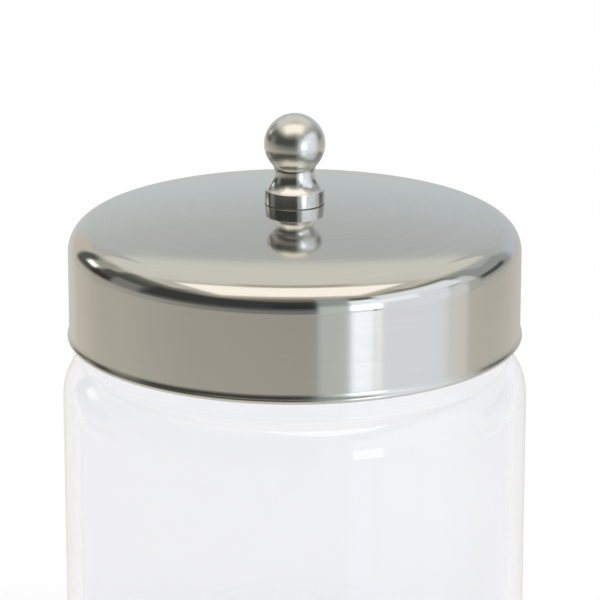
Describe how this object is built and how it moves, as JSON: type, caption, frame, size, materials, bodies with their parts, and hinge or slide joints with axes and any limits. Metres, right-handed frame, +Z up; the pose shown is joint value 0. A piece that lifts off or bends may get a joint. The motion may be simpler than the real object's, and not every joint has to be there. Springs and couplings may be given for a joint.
{
  "type": "disinfectant jar",
  "caption": "Round clear glass jar with a slip-on domed stainless steel cover, lifted by a turned ball knob.",
  "frame": {"origin": "centre of the ring that the jar stands on", "axes": "+Z up along the jar's axis, +X to the right as seen from the front, +Y to the back"},
  "size_m": [0.1114, 0.1114, 0.178],
  "materials": {
    "clear_glass": "clear pressed soda-lime glass, fire polished",
    "cover_steel": "stainless steel, mirror-buffed dome and fine satin skirt",
    "knob_steel": "turned stainless steel, polished",
    "fixing_steel": "plain stainless fastener"
  },
  "bodies": {
    "jar": {"glass_jar": "clear_glass"},
    "lid": {"lid_cover": "cover_steel", "knob": "knob_steel", "knob_screw": "fixing_steel", "spring_washer": "fixing_steel", "knob_washer": "fixing_steel"}
  },
  "joints": [
    {"name": "lid_lift", "type": "slide", "parent": "jar", "child": "lid", "axis": [0, 0, 1], "range_m": [0, 0.1]}
  ]
}
